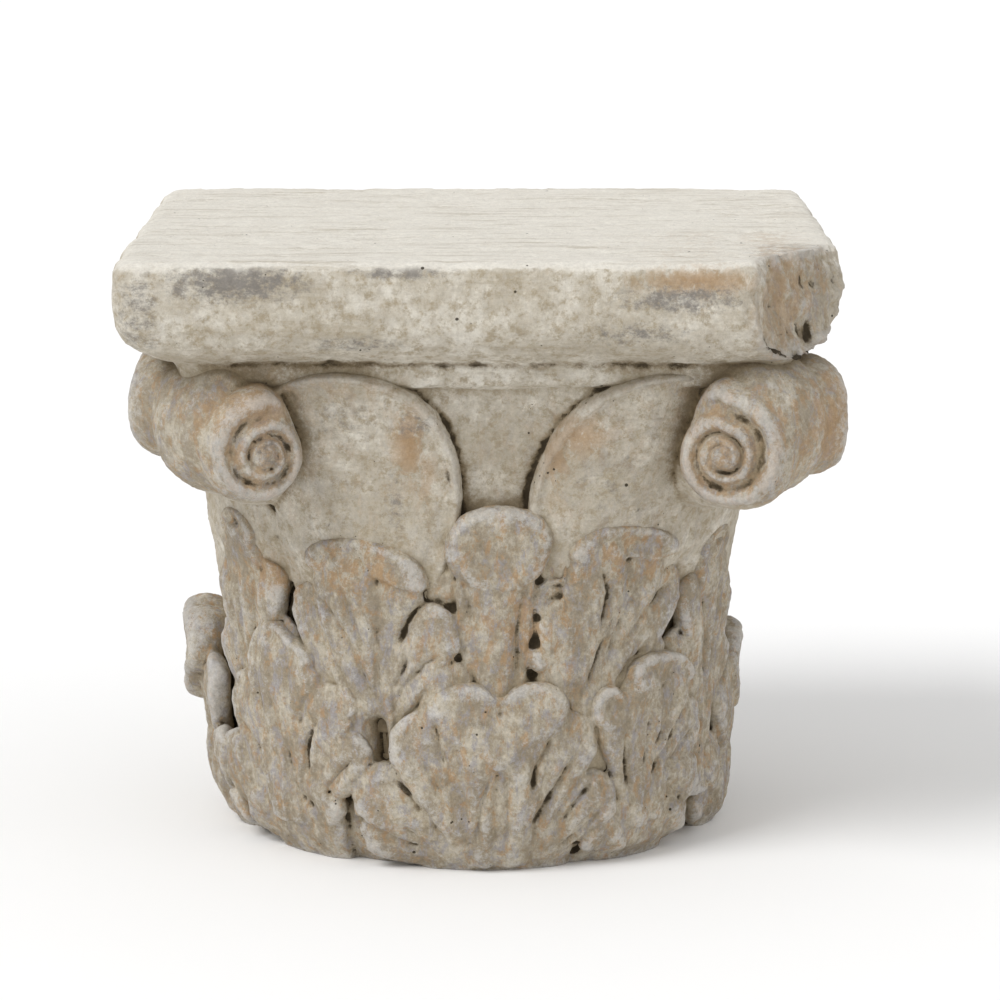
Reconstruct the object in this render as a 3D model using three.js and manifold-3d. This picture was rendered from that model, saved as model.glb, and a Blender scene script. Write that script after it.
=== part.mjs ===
// A Corinthian capital of cast stone, in one piece: a bell wrapped in two rows of
// acanthus leaves, a shield-shaped helix on each side of every face, a volute under
// each corner and a square abacus on top, with its front right corner broken away.
//
// Millimetres, +Z up. The origin is the middle of the flat underside and the front
// faces -Y. Angles are degrees round the axis, from the front towards +X.

import * as THREE from 'three';
import { mergeVertices } from 'three/addons/utils/BufferGeometryUtils.js';
import Module from 'manifold-3d';

const wasm = await Module();
wasm.setup();

// ---- Driving dimensions ----------------------------------------------------------

const HEIGHT = 315;
const FACES = [0, 90, 180, 270];

// The bell: its radius at a few heights, how much further it reaches on the diagonals,
// where it swells towards the volutes, and how far it stands left of the middle.
const BELL = [[0, 115], [9, 123], [26, 128], [120, 129], [205, 131], [256, 142]];
const SWELL = [[0, 0], [150, 0], [165, 5], [205, 16], [256, 34]];
const LEFTWARD = [[0, 3], [40, 5], [165, 5], [230, 0]];
const BELL_SIDES = 28;
const WRAP_RADIUS = 145; // a distance across a carving turns into an angle here
const BURIED = -6; // the back of a carving lies this far inside the bell

// The abacus from its soffit to its top bed: height, half width, corner radius.
const ABACUS = [
  [230, 116, 14],
  [249, 148, 14],
  [257, 154, 12],
  [270, 166, 13],
  [277, 174, 14],
  [287, 178, 13],
  [303, 178.5, 12],
  [311, 177, 11],
  [HEIGHT, 173, 10],
];
const CORNER_STEPS = 3;

// The broken corner: the line in plan that the break follows, and at a few heights
// how much further right it starts at the front face and ends at the right one.
const BREAK_LINE = [[127, -185], [134, -155], [160, -121], [182, -78], [190, -60]];
const BREAK_SHIFTS = [[237, 32, 32], [262, 24, 16], [276, 4, 13], [292, 2, 14], [HEIGHT + 5, 0, 2]];
const BREAK_BEHIND = 230;

// Each lobe of a leaf: where its tip is, as a share of the leaf's half width and
// height, and how far the tip rolls forward. A blunt lobe is flat across.
const BROAD_LEAF = [
  { across: -0.98, up: 0.46, roll: 5 },
  { across: -0.72, up: 0.88, roll: 9, blunt: true },
  { across: -0.23, up: 1, roll: 14, blunt: true },
  { across: 0.23, up: 1, roll: 14, blunt: true },
  { across: 0.72, up: 0.88, roll: 9, blunt: true },
  { across: 0.98, up: 0.46, roll: 5 },
];
const TALL_LEAF = [
  { across: -0.98, up: 0.5, roll: 4 },
  { across: -0.84, up: 0.8, roll: 7 },
  { across: -0.34, up: 1, roll: 13, blunt: true },
  { across: 0.34, up: 0.99, roll: 13, blunt: true },
  { across: 0.86, up: 0.8, roll: 7 },
  { across: 1, up: 0.48, roll: 4 },
];
const BUD_LEAF = [
  { across: -1.1, up: 0.74, roll: 0 },
  { across: 0, up: 1, roll: 12, blunt: true },
  { across: 1.1, up: 0.77, roll: 0 },
];

// How far a lobe stands proud of the bell on its way from root to tip, and how much
// of its roll is added there.
const LOBE_PROUD = [[0, 5], [0.35, 13], [0.92, 18], [1, 9]];
const LOBE_ROLL = [[0, 0], [0.35, 0], [0.92, 1], [1, 0.6]];
const LOBE_ROWS = [0, 0.35, 0.92, 1];
const BLUNT_SHARE = 0.6; // where the sides of a blunt lobe lie, towards the grooves
const GROOVE_PROUD = 0.65; // how proud a groove is, as a share of a lobe
const GROOVE_ROLL = 0.5; // how much of its neighbours' roll a groove takes
const NOTCH = 0.9; // how far up towards the tips a groove reaches
const ROOT_SPREAD = 1.1; // how wide the roots of the lobes lie, over the half width

// The leaves: angle, height of the tips, half width, and how much further out than
// the rest one stands. Like hand carving, no two are quite the same.
const LOWER_LEAVES = [
  { angle: 5, top: 92, half: 70 },
  { angle: 40, top: 101, half: 60 },
  { angle: 88, top: 96, half: 60, out: -4 },
  { angle: 135, top: 104, half: 64 },
  { angle: 180, top: 95, half: 68 },
  { angle: 225, top: 108, half: 64 },
  { angle: 271, top: 104, half: 62, out: 4 },
  { angle: 317, top: 119, half: 62 },
];
const UPPER_FOOT = 58;
const UPPER_LEAVES = [
  { angle: 33, top: 172, half: 42 },
  { angle: 61, top: 158, half: 30, out: -6 },
  { angle: 118, top: 163, half: 38, out: -6 },
  { angle: 151, top: 167, half: 42 },
  { angle: 209, top: 165, half: 41 },
  { angle: 241, top: 162, half: 38, out: -3 },
  { angle: 305, top: 172, half: 32, out: -3 },
  { angle: 338, top: 165, half: 47 },
];
const BUD_FOOT = 70;
const BUD_LEAVES = [
  { angle: 5, top: 188, half: 23 },
  { angle: 90, top: 178, half: 22, out: -14 },
  { angle: 181, top: 185, half: 21 },
  { angle: 270, top: 178, half: 22, out: -18 },
];

// The helices: shields with a bead along their edge, two to a face. The outline runs
// from the edge to the middle: share of the half width, distance proud of the bell.
const SHIELD = { halfWidth: 54, halfHeight: 70, height: 188, buried: -24 };
const SHIELD_OUTLINE = [[1, 10], [0.9, 12], [0.84, 7], [0, 14]];
const SHIELD_SIDES = 14;
const SHIELD_PLACES = [-66, 74];

// The volutes: fat discs that stand on the diagonals, with a spiral on both sides.
const VOLUTE = { radius: 34, half: 28, height: 226 };
const VOLUTE_SIDES = 12;
const VOLUTE_PLACES = [
  { angle: 45, reach: 200 },
  { angle: 135, reach: 193 },
  { angle: 225, reach: 194 },
  { angle: 315, reach: 189 },
];
const SPIRAL = { turns: 1.6, outer: 31, inner: 4, band: 0.6, rise: 4, stepsPerTurn: 8 };
const NECK = { length: 66, rise: 60, inward: 48, drop: 10 };

// ---- Tools -----------------------------------------------------------------------

// The value at `at` of a list of [place, value] pairs, straight between them.
function interpolate(pairs, at) {
  const next = pairs.findIndex(([place]) => place >= at);
  if (next === 0) return pairs[0][1];
  if (next < 0) return pairs[pairs.length - 1][1];
  const [[from, low], [to, high]] = [pairs[next - 1], pairs[next]];
  return THREE.MathUtils.mapLinear(at, from, to, low, high);
}

// How far the plain bell reaches from the axis, at an angle and a height.
function bellRadius(angle, height) {
  const diagonal = Math.sin(2 * THREE.MathUtils.degToRad(angle)) ** 2;
  return interpolate(BELL, height) + diagonal * interpolate(SWELL, height);
}

// The point at an angle and a height, this far out from the axis.
function around(angle, radius, height) {
  const turn = THREE.MathUtils.degToRad(angle);
  return new THREE.Vector3(radius * Math.sin(turn), -radius * Math.cos(turn), height);
}

// The point of the bell's surface at an angle and a height, moved this far outwards.
function onBell(angle, height, proud) {
  const point = around(angle, bellRadius(angle, height) + proud, height);
  point.x -= interpolate(LEFTWARD, height);
  return point;
}

// A three.js geometry as a manifold-3d solid.
function solidOf(geometry) {
  const bare = geometry.clone();
  for (const name of Object.keys(bare.attributes)) {
    if (name !== 'position') bare.deleteAttribute(name);
  }
  const merged = mergeVertices(bare, 1e-4);
  return new wasm.Manifold(new wasm.Mesh({
    numProp: 3,
    vertProperties: merged.attributes.position.array,
    triVerts: new Uint32Array(merged.index.array),
  }));
}

function geometryOf(solid) {
  const { numProp, numVert, vertProperties, triVerts } = solid.getMesh();
  const places = new Float32Array(numVert * 3);
  for (let i = 0; i < numVert; i++) {
    places.set(vertProperties.subarray(i * numProp, i * numProp + 3), i * 3);
  }
  const geometry = new THREE.BufferGeometry();
  geometry.setAttribute('position', new THREE.BufferAttribute(places, 3));
  geometry.setIndex(new THREE.BufferAttribute(new Uint32Array(triVerts), 1));
  geometry.computeVertexNormals();
  return geometry;
}

// A solid skinned over rings of points, each ring counter-clockwise from above and
// higher than the one before, closed with flat caps.
function loft(rings) {
  const sides = rings[0].length;
  const corner = (ring, side) => ring * sides + (side % sides);
  const faces = [];
  for (let ring = 0; ring < rings.length - 1; ring++) {
    for (let side = 0; side < sides; side++) {
      const [a, b] = [corner(ring, side), corner(ring, side + 1)];
      const [c, d] = [corner(ring + 1, side + 1), corner(ring + 1, side)];
      faces.push(a, b, c, a, c, d);
    }
  }
  for (const last of [0, rings.length - 1]) {
    const outline = rings[last].map((p) => new THREE.Vector2(p.x, p.y));
    for (const [a, b, c] of THREE.ShapeUtils.triangulateShape(outline, [])) {
      const cap = [corner(last, a), corner(last, b), corner(last, c)];
      faces.push(...(last === 0 ? cap.reverse() : cap));
    }
  }
  return new THREE.BufferGeometry().setFromPoints(rings.flat()).setIndex(faces);
}

// A closed slab between a grid of points, front[column][row], and one behind it.
function slab(front, back) {
  const [columns, rows] = [front.length, front[0].length];
  const at = (layer, column, row) => (layer * columns + column) * rows + row;
  const faces = [];
  const quad = (a, b, c, d) => faces.push(a, b, c, a, c, d);
  for (let i = 0; i < columns - 1; i++) {
    for (let j = 0; j < rows - 1; j++) {
      quad(at(0, i, j), at(0, i + 1, j), at(0, i + 1, j + 1), at(0, i, j + 1));
      quad(at(1, i, j), at(1, i, j + 1), at(1, i + 1, j + 1), at(1, i + 1, j));
    }
    const top = rows - 1;
    quad(at(0, i, top), at(0, i + 1, top), at(1, i + 1, top), at(1, i, top));
    quad(at(1, i, 0), at(1, i + 1, 0), at(0, i + 1, 0), at(0, i, 0));
  }
  for (let j = 0; j < rows - 1; j++) {
    const right = columns - 1;
    quad(at(0, right, j), at(1, right, j), at(1, right, j + 1), at(0, right, j + 1));
    quad(at(1, 0, j), at(0, 0, j), at(0, 0, j + 1), at(1, 0, j + 1));
  }
  const points = [...front.flat(), ...back.flat()];
  return new THREE.BufferGeometry().setFromPoints(points).setIndex(faces);
}

// ---- Bell and abacus -------------------------------------------------------------

function bell() {
  const rings = BELL.map(([height]) => Array.from(
    { length: BELL_SIDES },
    (_, side) => onBell((side * 360) / BELL_SIDES, height, 0),
  ));
  return loft(rings);
}

// A square ring with round corners, counter-clockwise from above.
function squareRing([height, half, corner]) {
  const points = [];
  for (let quarter = 0; quarter < 4; quarter++) {
    for (let step = 0; step <= CORNER_STEPS; step++) {
      const turn = ((quarter + step / CORNER_STEPS) * Math.PI) / 2;
      const middle = ((quarter + 0.5) * Math.PI) / 2;
      const inset = (half - corner) * Math.SQRT2;
      points.push(new THREE.Vector3(
        inset * Math.cos(middle) + corner * Math.cos(turn),
        inset * Math.sin(middle) + corner * Math.sin(turn),
        height,
      ));
    }
  }
  return points;
}

// What is missing at the front right corner of the abacus.
function brokenCorner() {
  const front = BREAK_LINE[0][1];
  const back = BREAK_LINE.at(-1)[1];
  return loft(BREAK_SHIFTS.map(([height, atFront, atSide]) => {
    const line = BREAK_LINE.map(([x, y]) => {
      const shift = THREE.MathUtils.mapLinear(y, front, back, atFront, atSide);
      return new THREE.Vector3(x + shift, y, height);
    });
    const ends = [front, back].map((y) => new THREE.Vector3(BREAK_BEHIND, y, height));
    return [...ends, ...line.reverse()];
  }));
}

// ---- Leaves ----------------------------------------------------------------------

// The line of a lobe or a groove over the leaf, from its root to its end.
function rib(root, end) {
  const start = new THREE.Vector2(root, 0);
  const bend = new THREE.Vector2(THREE.MathUtils.lerp(root, end.x, 0.45), end.y * 0.6);
  return new THREE.QuadraticBezierCurve(start, bend, end);
}

// The lines of points of a leaf from left to right: a groove, then the top or the two
// sides of a lobe, and so on to the last groove.
function leafColumns(lobes) {
  const tips = lobes.map(({ across, up }) => new THREE.Vector2(across, up));
  const rootOf = (place) => ROOT_SPREAD * (place / lobes.length - 0.5);
  const grooves = Array.from({ length: lobes.length + 1 }, (_, k) => {
    const left = tips[Math.max(k - 1, 0)];
    const right = tips[Math.min(k, tips.length - 1)];
    const end = left.clone().add(right).multiplyScalar(NOTCH / 2);
    const rolls = [lobes[Math.max(k - 1, 0)].roll, lobes[Math.min(k, lobes.length - 1)].roll];
    return { line: rib(rootOf(k), end), share: GROOVE_PROUD, roll: GROOVE_ROLL * Math.min(...rolls) };
  });
  return lobes.flatMap(({ roll, blunt }, k) => {
    const ridge = { line: rib(rootOf(k + 0.5), tips[k]), share: 1, roll };
    const sides = [grooves[k], grooves[k + 1]].map(({ line }) => ({ ...ridge, towards: line }));
    return [grooves[k], ...(blunt ? sides : [ridge])];
  }).concat(grooves.at(-1));
}

function leaf(lobes, foot, { angle, top, half, out = 0 }) {
  const lines = leafColumns(lobes).map(({ line, towards, share, roll }) => LOBE_ROWS.map((along) => {
    const place = line.getPoint(along);
    if (towards) place.lerp(towards.getPoint(along), BLUNT_SHARE);
    const turned = angle + THREE.MathUtils.radToDeg((place.x * half) / WRAP_RADIUS);
    const height = THREE.MathUtils.lerp(foot, top, place.y);
    const proud = share * interpolate(LOBE_PROUD, along) + roll * interpolate(LOBE_ROLL, along);
    return [onBell(turned, height, proud + out * along), onBell(turned, height, BURIED)];
  }));
  const layer = (side) => lines.map((points) => points.map((pair) => pair[side]));
  return slab(layer(0), layer(1));
}

// ---- Helices and volutes ---------------------------------------------------------

function shield(face, across) {
  const { halfWidth, halfHeight, height, buried } = SHIELD;
  const outline = [[0, buried], [1, buried], ...SHIELD_OUTLINE];
  const profile = outline.map(([share, proud]) => new THREE.Vector2(share, proud));
  const disc = new THREE.LatheGeometry(profile, SHIELD_SIDES).rotateX(Math.PI / 2);
  const places = disc.attributes.position;
  for (let i = 0; i < places.count; i++) {
    const turned = face + THREE.MathUtils.radToDeg((across + places.getX(i) * halfWidth) / WRAP_RADIUS);
    const point = onBell(turned, height + places.getY(i) * halfHeight, places.getZ(i));
    places.setXYZ(i, point.x, point.y, point.z);
  }
  return disc;
}

// A band that winds in from the rim of a volute to its eye.
function spiralBand() {
  const { turns, outer, inner, band, rise, stepsPerTurn } = SPIRAL;
  const steps = Math.round(turns * stepsPerTurn);
  const width = (band * (outer - inner)) / turns;
  const [outside, inside] = [[], []];
  for (let step = 0; step <= steps; step++) {
    const turn = (2 * Math.PI * step) / stepsPerTurn;
    const reach = THREE.MathUtils.lerp(outer, inner, step / steps);
    const direction = new THREE.Vector2(Math.sin(turn), Math.cos(turn));
    outside.push(direction.clone().multiplyScalar(reach));
    inside.push(direction.clone().multiplyScalar(Math.max(reach - width, 1)));
  }
  const shape = new THREE.Shape([...outside, ...inside.reverse()]);
  const sunk = 2;
  const depth = rise + sunk;
  return new THREE.ExtrudeGeometry(shape, { depth, bevelEnabled: false }).translate(0, 0, VOLUTE.half - sunk);
}

// A volute with the neck that carries it, in pieces. At first its axis lies along Z
// and it leaves the bell along +X; then it is stood up and swung to its diagonal.
function volute({ angle, reach }) {
  const { radius, half, height } = VOLUTE;
  const outline = [[0, -half], [radius * 0.95, -half], [radius, -half * 0.7]];
  const mirrored = outline.map(([across, along]) => [across, -along]).reverse();
  const profile = [...outline, ...mirrored].map(([across, along]) => new THREE.Vector2(across, along));
  const pieces = [
    new THREE.LatheGeometry(profile, VOLUTE_SIDES).rotateX(Math.PI / 2),
    spiralBand(),
    spiralBand().rotateX(Math.PI).rotateZ(Math.PI),
    new THREE.SphereGeometry(1, 8, 5).scale(NECK.length, NECK.rise, half - 2).translate(-NECK.inward, -NECK.drop, 0),
  ];
  return pieces.map((piece) => piece
    .rotateX(Math.PI / 2)
    .translate(reach, 0, height)
    .rotateZ(THREE.MathUtils.degToRad(angle - 90)));
}

// ---- The capital -----------------------------------------------------------------

function capital() {
  const pieces = [
    bell(),
    ...LOWER_LEAVES.map((place) => leaf(BROAD_LEAF, 0, place)),
    ...UPPER_LEAVES.map((place) => leaf(TALL_LEAF, UPPER_FOOT, place)),
    ...BUD_LEAVES.map((place) => leaf(BUD_LEAF, BUD_FOOT, place)),
    ...FACES.flatMap((face) => SHIELD_PLACES.map((across) => shield(face, across))),
    ...VOLUTE_PLACES.flatMap(volute),
  ];
  const abacus = solidOf(loft(ABACUS.map(squareRing))).subtract(solidOf(brokenCorner()));
  return pieces.map(solidOf).reduce((whole, piece) => whole.add(piece), abacus);
}

const stone = new THREE.MeshStandardMaterial({ color: 0xcfc4ae, roughness: 0.92, metalness: 0 });
const mesh = new THREE.Mesh(geometryOf(capital()), stone);
mesh.name = 'capital';

const part = new THREE.Group();
part.add(mesh);

export default part;
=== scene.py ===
"""A weathered Corinthian capital of cast stone, on a plain pale floor.

The CAD solid is one faceted casting. Here it is replaced by the same casting with its
carving: an abacus, a bell with shields and volutes, and two rows of acanthus leaves.
Carvings are shaped flat, as (across, up, proud) in millimetres, and then wrapped on
the bell, as the CAD source does.
"""

import math

import bpy
import numpy as np
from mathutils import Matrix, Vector, noise
from mathutils.bvhtree import BVHTree


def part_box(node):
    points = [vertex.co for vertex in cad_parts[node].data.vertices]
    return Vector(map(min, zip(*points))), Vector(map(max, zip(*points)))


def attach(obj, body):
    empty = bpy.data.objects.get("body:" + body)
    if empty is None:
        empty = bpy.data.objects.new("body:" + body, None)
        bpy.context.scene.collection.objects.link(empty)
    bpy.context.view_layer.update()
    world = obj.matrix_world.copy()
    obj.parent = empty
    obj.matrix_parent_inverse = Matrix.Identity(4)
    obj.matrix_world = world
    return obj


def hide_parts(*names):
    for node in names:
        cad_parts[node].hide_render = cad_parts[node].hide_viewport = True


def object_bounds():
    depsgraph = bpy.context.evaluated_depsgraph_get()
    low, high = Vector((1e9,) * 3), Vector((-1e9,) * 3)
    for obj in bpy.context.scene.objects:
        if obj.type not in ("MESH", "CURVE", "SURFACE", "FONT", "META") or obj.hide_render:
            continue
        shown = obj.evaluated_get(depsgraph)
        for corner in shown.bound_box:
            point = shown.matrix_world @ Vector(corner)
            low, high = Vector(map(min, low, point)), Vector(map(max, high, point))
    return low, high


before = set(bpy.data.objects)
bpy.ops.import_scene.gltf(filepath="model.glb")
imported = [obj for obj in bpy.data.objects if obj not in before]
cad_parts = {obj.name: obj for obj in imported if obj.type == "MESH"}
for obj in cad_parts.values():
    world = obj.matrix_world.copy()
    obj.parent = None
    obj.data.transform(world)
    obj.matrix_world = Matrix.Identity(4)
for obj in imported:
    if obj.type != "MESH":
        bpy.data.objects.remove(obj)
CAD_LOW, CAD_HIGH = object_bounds()

# ---- Driving dimensions, in millimetres, as in the CAD source ---------------------

MM = 0.001
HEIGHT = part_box("capital")[1][2] / MM

BELL = ((0, 115), (9, 123), (26, 128), (120, 129), (205, 131), (256, 142))
SWELL = ((0, 0), (150, 0), (165, 5), (205, 16), (256, 34))
LEFTWARD = ((0, 3), (40, 5), (165, 5), (230, 0))
WRAP_RADIUS = 145.0

ABACUS = (
    (238, 122, 14),
    (249, 142, 14),
    (251, 147, 14),
    (253, 148.5, 13),
    (261, 150.5, 13),
    (263, 152.5, 13),
    (266, 160, 13),
    (270, 168, 13),
    (274, 173, 14),
    (281, 177, 14),
    (290, 178.5, 14),
    (303, 178.5, 13),
    (309, 178, 12),
    (312.5, 176, 11),
    (314.3, 173, 10),
    (HEIGHT, 169, 9),
)
BREAK_LINE = ((127, -185), (134, -155), (160, -121), (182, -78), (190, -60))
BREAK_SHIFTS = ((237, 32, 32), (262, 24, 16), (276, 4, 13), (292, 2, 14), (HEIGHT + 5, 0, 2))
BREAK_BEHIND = 230

SHIELD = {"half_width": 57, "half_height": 71, "height": 188}
SHIELD_PLACES = {0: (-64, 84), 90: (-66, 76), 180: (-70, 72), 270: (-66, 76)}

# A volute: the mass between its two scrolls, the height of its spirals' eyes, and per corner
# its angle, its reach, its two scrolls (how far each stands to the side, its size and how much
# higher its eye is) and their wear.
VOLUTE = {"radius": 37.0, "half": 26.0, "height": 231.0, "eye": 219.0}
NECK = {"out": 62.0, "half": 26.0, "up": 42.0, "behind": 48.0, "below": 5.0}
VOLUTE_PLACES = (
    (45, 200, ((34, 37, 0), (44, 34, 9)), 0.0),
    (135, 193, ((36, 35, 3), (38, 35, 0)), 0.3),
    (225, 194, ((38, 35, 0), (38, 35, 3)), 0.3),
    (315, 190, ((46, 32, 15), (41, 33, 0)), 0.35),
)
SPIRAL = {"shrink": 0.5, "depth": 4.5, "dome": 4.0, "length": 52.0, "facing": 27.0}

VOXEL = 1.25


# ---- Solids made of points ---------------------------------------------------------


class Clay:
    """Closed solids collected as points and faces, in millimetres."""

    def __init__(self):
        self.points, self.faces, self.count = [], [], 0
        self.crisp, self.owners, self.sharpness = 1.0, [], []
        self.veins = []

    def add(self, points, faces):
        self.points.append(np.asarray(points, float))
        self.faces.append(np.asarray(faces, int) + self.count)
        self.owners.append(np.full(len(faces), len(self.sharpness)))
        self.sharpness.append(self.crisp)
        self.count += len(points)

    def tube(self, rings):
        """A closed skin over rings of points, shaped (rings, around, 3)."""
        many, around, _ = rings.shape
        ends = np.array([rings[0].mean(0), rings[-1].mean(0)])
        points = np.vstack([rings.reshape(-1, 3), ends])
        i, j = np.meshgrid(np.arange(many - 1), np.arange(around), indexing="ij")
        a, b = i * around + j, i * around + (j + 1) % around
        c, d = b + around, a + around
        skin = np.stack([a, b, c, a, c, d], -1).reshape(-1, 3)
        j = np.arange(around)
        turned = (j + 1) % around
        first = np.stack([turned, j, np.full(around, many * around)], -1)
        last = np.stack([j, turned, np.full(around, 1 - around)], -1) + (many - 1) * around
        last[:, 2] = many * around + 1
        self.add(points, np.vstack([skin, first, last]))


def interpolate(pairs, at):
    places, values = zip(*pairs)
    return np.interp(at, places, values)


def smooth(share):
    share = np.clip(share, 0, 1)
    return share * share * (3 - 2 * share)


def bell_radius(angle, height):
    diagonal = np.sin(2 * np.radians(angle)) ** 2
    return interpolate(BELL, height) + diagonal * interpolate(SWELL, height)


def on_bell(angle, height, proud):
    """Points of the bell's surface at angles and heights, moved this far outwards."""
    angle, height, proud = np.broadcast_arrays(angle, height, proud)
    radius = bell_radius(angle, height) + proud
    turn = np.radians(angle)
    x = radius * np.sin(turn) - interpolate(LEFTWARD, height)
    return np.stack([x, -radius * np.cos(turn), height], -1)


# ---- Leaves ------------------------------------------------------------------------

LOBE_SIDES = 32
KNOB_DEPTH = 0.75

# A pad from its back to the middle of its front: its size, its level (below 0 in millimetres,
# above 0 as a share of its rise) and how much of the rise fills the hollow in its middle.
PAD_ROUNDS = 3
PAD_SIZES = (0.80, 0.90, 0.97, 1.0, 0.98, 0.92, 0.82, 0.68, 0.5, 0.3, 0.06)
PAD_LEVELS = (-14, -8, -4, 0, 0.45, 0.8, 1.0, 0.95, 0.7, 0.5, 0.4)
PAD_FILLING = (0, 0, 0, 0, 0, 0, 0, 0.05, 0.3, 0.5, 0.6)

# How sharp the crease around a pad or a blade is, as a share of the crease around a lobe.
PAD_CRISP, BLADE_CRISP = 0.4, 0.5

# A vein is cut this much shallower than it is named, unless it is a hole: DEEPEST or more.
VEIN_SHARE, DEEPEST = 0.7, 10.0
BODY_ROWS, CURL_ROWS, FLAP_ROWS = 18, 12, 5


def lobe(clay, leaf, root, tip, width, thick=10.0, lean=(1.0, 6.0), curl=5.0, turn=120.0, flap=2.0,
         narrow=0.4, bend=0.4, grooves=(-0.42, 0.34), depth=1.8, cup=1.0, step=0.0, swing=0.0):
    """One lobe of a leaf: it climbs the bell from root to tip, and its end rolls over.

    root and tip are (across, up) from the leaf's root. lean is how far its middle layer
    stands off the bell at root and tip, and step moves all of it in or out. curl is the
    radius of the roll, turn how far it goes, flap what hangs down after it, and swing how
    far sideways the hanging end is carried.
    """
    mirror, stretch, rise = leaf.get("mirror", 1), leaf.get("wide", 1.0), leaf.get("tall", 1.0)
    root = np.array([root[0] * mirror * stretch, root[1] * rise + leaf["foot"]])
    tip = np.array([tip[0] * mirror * stretch, tip[1] * rise + leaf["foot"]])
    middle = root + (tip - root) * np.array([bend, 0.62])
    share = np.linspace(0, 1, BODY_ROWS)[:, None]
    ahead = tip - middle
    ahead /= np.linalg.norm(ahead)
    base = tip - ahead * (curl + thick / 2)
    path = (1 - share) ** 2 * root + 2 * share * (1 - share) * middle + share**2 * base
    heading = 2 * (1 - share) * (middle - root) + 2 * share * (base - middle)
    heading /= np.linalg.norm(heading, axis=1, keepdims=True)
    proud = lean[0] + (lean[1] - lean[0]) * smooth(share[:, 0] * 1.15)
    roll = np.radians(np.linspace(0, turn, CURL_ROWS + 1)[1:])
    path = np.vstack([path, base + ahead * curl * np.sin(roll)[:, None]])
    proud = np.concatenate([proud, lean[1] + curl * (1 - np.cos(roll))])
    hang = np.linspace(0, flap, FLAP_ROWS + 1)[1:]
    path = np.vstack([path, path[-1] + ahead * (hang * np.cos(roll[-1]))[:, None]])
    path[BODY_ROWS:, 0] += np.linspace(0, swing * mirror, CURL_ROWS + FLAP_ROWS)
    proud = np.concatenate([proud, proud[-1] + hang * np.sin(roll[-1])]) + step
    pitch = np.concatenate([np.zeros(BODY_ROWS), roll, np.full(FLAP_ROWS, roll[-1])])
    heading = np.vstack([heading, np.repeat(ahead[None], CURL_ROWS + FLAP_ROWS, 0)])

    steps = np.hypot(np.linalg.norm(np.diff(path, axis=0), axis=1), np.diff(proud))
    along = np.concatenate([[0], np.cumsum(steps)])
    length = along[-1]
    rounding = np.clip((along - (length - width * 0.42)) / (width * 0.42), 0, 1)
    end = np.sqrt(np.clip(1 - rounding**2, 0.002, 1))
    half = width / 2 * stretch * (narrow + (1 - narrow) * smooth(along / length * 1.35)) * end
    deep = thick / 2 * (0.3 + 0.7 * end)

    around = np.linspace(0, 2 * np.pi, LOBE_SIDES, endpoint=False)
    flat = np.sign(np.cos(around)) * np.abs(np.cos(around)) ** 0.75
    full = np.sign(np.sin(around)) * np.abs(np.sin(around)) ** 0.7
    front = np.clip(full, 0, 1) ** 0.5
    sunk = sum(np.exp(-(((flat - g) / 0.15) ** 2)) for g in grooves) if grooves else 0 * flat
    fade = smooth(1.25 - along / length)[:, None]
    sideways = half[:, None] * flat
    outward = deep[:, None] * full + front * (cup * flat**2 - depth * sunk * fade)

    tilt = pitch[:, None]
    across = path[:, :1] + sideways * heading[:, 1:] - outward * np.sin(tilt) * heading[:, :1]
    up = path[:, 1:] - sideways * heading[:, :1] - outward * np.sin(tilt) * heading[:, 1:]
    out = proud[:, None] + outward * np.cos(tilt) + leaf.get("out", 0) * smooth(along / length)[:, None]
    angle = leaf["angle"] + np.degrees(across / WRAP_RADIUS)
    clay.tube(on_bell(angle, up, out))


def knob(clay, leaf, place, radius, proud):
    """A round knob standing on the bell at (across, up) from the leaf's root."""
    polar = np.linspace(0.03, np.pi - 0.03, 16)[:, None]
    turn = np.linspace(0, 2 * np.pi, 28, endpoint=False)[None]
    across = place[0] * leaf.get("mirror", 1) * leaf.get("wide", 1.0)
    across = across + radius * np.sin(polar) * np.cos(turn)
    up = place[1] * leaf.get("tall", 1.0) + leaf["foot"] - radius * np.cos(polar) * np.ones_like(turn)
    out = proud + leaf.get("out", 0) + radius * KNOB_DEPTH * np.sin(polar) * np.sin(turn)
    clay.tube(on_bell(leaf["angle"] + np.degrees(across / WRAP_RADIUS), up, out))


def pad(clay, leaf, proud, rise, dish, *outline):
    """A rolled lip: a cushion with this outline, (across, up), and a hollow in its middle."""
    mirror, stretch, tall = leaf.get("mirror", 1), leaf.get("wide", 1.0), leaf.get("tall", 1.0)
    edge = np.array(outline, float) * (mirror * stretch, tall)
    for _ in range(PAD_ROUNDS):
        after = np.roll(edge, -1, axis=0)
        edge = np.stack([0.75 * edge + 0.25 * after, 0.25 * edge + 0.75 * after], 1).reshape(-1, 2)
    middle = edge.mean(0)
    size, level = np.array(PAD_SIZES)[:, None, None], np.array(PAD_LEVELS)
    level = np.where(level < 0, level, level * rise)
    level += (1 - dish) * rise * np.array(PAD_FILLING)
    place = middle + size * (edge - middle)
    out = proud + leaf.get("out", 0) + level[:, None] + 0 * place[:, :, 0]
    angle = leaf["angle"] + np.degrees(place[:, :, 0] / WRAP_RADIUS)
    rings = on_bell(angle, place[:, :, 1] + leaf["foot"], out)
    clay.crisp = PAD_CRISP
    clay.tube(rings[:, ::mirror])
    clay.crisp = 1.0


def blade(clay, leaf, root, top, width, proud=1.0, spread=0.7, thick=12.0):
    """The leaf behind its lobes: a broad low swelling that joins them."""
    clay.crisp = BLADE_CRISP
    lobe(clay, leaf, root, top, width, thick=thick, lean=(0, proud), curl=3, turn=80, flap=0,
         narrow=spread, grooves=(), cup=0, bend=0.5)
    clay.crisp = 1.0


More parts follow.
